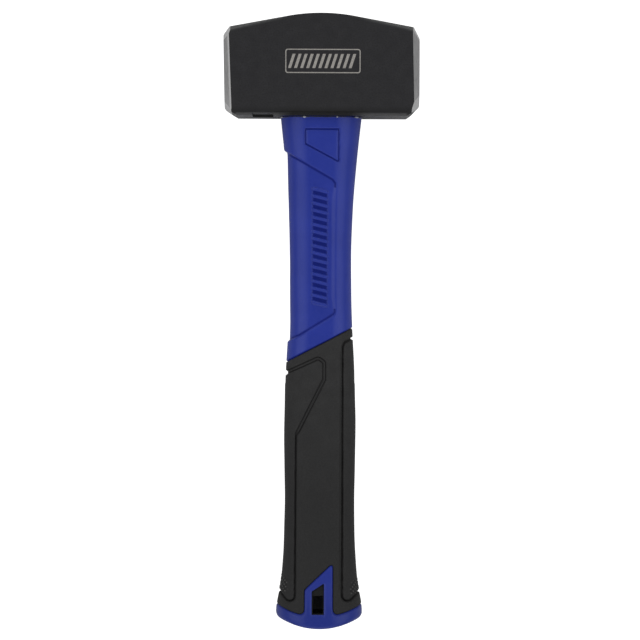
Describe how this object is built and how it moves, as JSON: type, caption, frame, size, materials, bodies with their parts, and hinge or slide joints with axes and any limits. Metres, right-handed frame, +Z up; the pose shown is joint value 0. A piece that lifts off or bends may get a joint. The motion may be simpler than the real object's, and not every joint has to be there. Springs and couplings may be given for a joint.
{
  "type": "lump hammer",
  "caption": "Short-handled hand sledge: a square forged steel head with bevelled striking faces, bonded to a moulded handle with a soft grip and a hanging slot.",
  "frame": {"origin": "centre of the hammer's bounding box, at its base, on the surface that it lies on", "axes": "X along the head from face to face, Y along the handle towards the head, Z up across the thickness"},
  "size_m": [0.0942, 0.295, 0.04],
  "materials": {
    "head_steel": "satin black, ground bright at both ends",
    "glass_fibre": "pultruded glass fibre",
    "jacket_plastic": "semi-gloss moulded, blue",
    "grip_rubber": "matte, black",
    "resin": "cast, dark",
    "bead_resin": "squeezed-out resin, with pale glints"
  },
  "bodies": {
    "root": {"head": "head_steel", "core_rod": "glass_fibre", "handle_jacket": "jacket_plastic", "grip_sleeve": "grip_rubber", "hole_insert": "grip_rubber", "eye_resin": "resin", "collar_bead": "bead_resin"}
  },
  "joints": []
}
